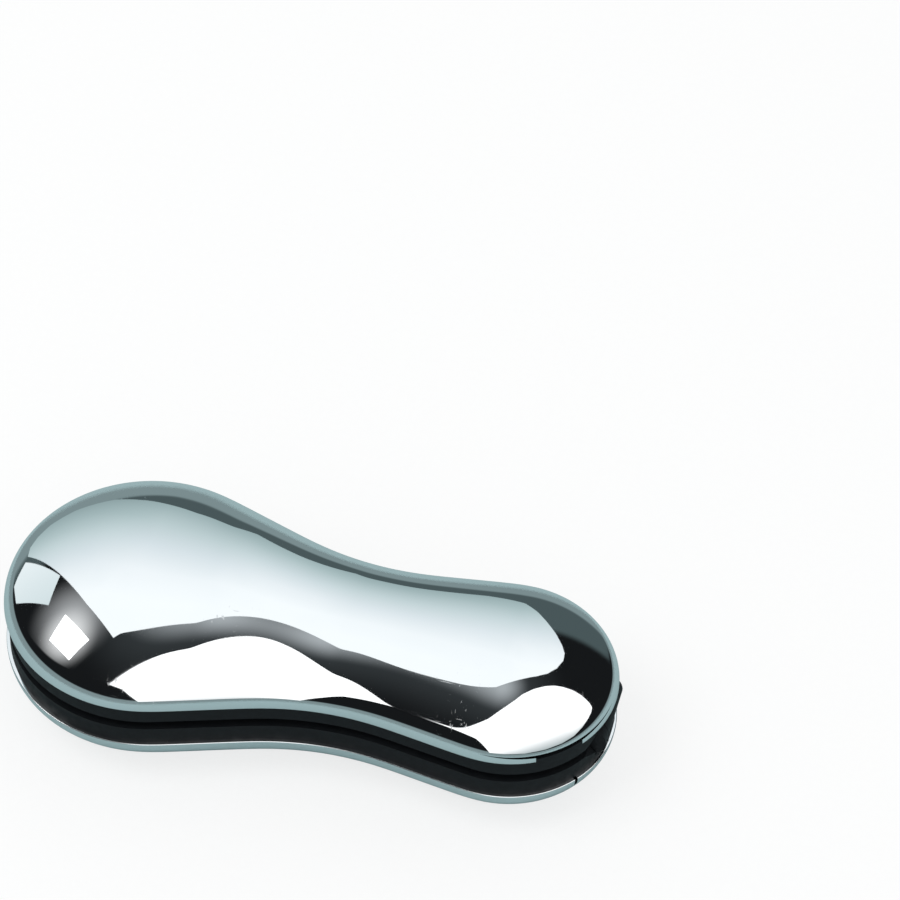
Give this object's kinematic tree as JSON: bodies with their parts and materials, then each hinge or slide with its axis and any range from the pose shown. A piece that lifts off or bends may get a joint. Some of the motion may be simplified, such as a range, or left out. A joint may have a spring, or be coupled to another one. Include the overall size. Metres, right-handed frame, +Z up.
{
  "type": "clamshell disc cleaner",
  "caption": "Hand-held chromed clamshell that hinges over one radius of a disc, seats it on a turning hub and wipes both faces with cloth pads as the disc is turned.",
  "frame": {"origin": "middle of the closed part's footprint, on the surface it stands on", "axes": "+X from the big hub lobe to the small hinge lobe, +Y across, +Z up through the disc plane"},
  "size_m": [0.0886, 0.0412, 0.0261],
  "materials": {
    "chrome_shell": "polished",
    "chrome_trim": "polished",
    "black_frame": "satin moulded",
    "pad_foam": "soft open foam",
    "pad_cloth": "short-nap microfibre",
    "plain_steel": "zinc plated",
    "spring_steel": "drawn wire",
    "washer_plastic": "natural acetal",
    "hub_plastic": "satin moulded",
    "grip_rubber": "matt",
    "foot_rubber": "matt"
  },
  "bodies": {
    "base": {"bottom_cover": "chrome_shell", "standing_feet": "foot_rubber", "bottom_trim_ring": "chrome_trim", "bottom_frame": "black_frame", "bottom_foam_pad": "pad_foam", "bottom_cloth_pad": "pad_cloth", "bottom_screws": "plain_steel", "hub_axle": "plain_steel", "hub_washer": "washer_plastic", "hinge_pin": "plain_steel", "hinge_spring": "spring_steel"},
    "lid": {"top_cover": "chrome_shell", "top_trim_ring": "chrome_trim", "top_frame": "black_frame", "top_foam_pad": "pad_foam", "top_cloth_pad": "pad_cloth", "top_screws": "plain_steel", "clamp_axle": "plain_steel", "clamp_washer": "washer_plastic"},
    "hub": {"disc_hub": "hub_plastic", "hub_friction_ring": "grip_rubber"},
    "clamp": {"disc_clamp": "hub_plastic", "clamp_friction_ring": "grip_rubber"}
  },
  "joints": [
    {"name": "lid_hinge", "type": "hinge", "parent": "base", "child": "lid", "pos_m": [0.0412, 0, 0.012], "axis": [0, 1, 0], "range_deg": [0, 90], "stiffness_Nm_per_rad": 0.02, "springref_deg": -20.05, "deforming": ["hinge_spring"]},
    {"name": "disc_hub_spin", "type": "hinge", "parent": "base", "child": "hub", "pos_m": [-0.02375, 0, 0.012], "axis": [0, 0, 1], "continuous": true},
    {"name": "disc_clamp_spin", "type": "hinge", "parent": "lid", "child": "clamp", "pos_m": [-0.02375, 0, 0.014], "axis": [0, 0, 1], "continuous": true}
  ]
}
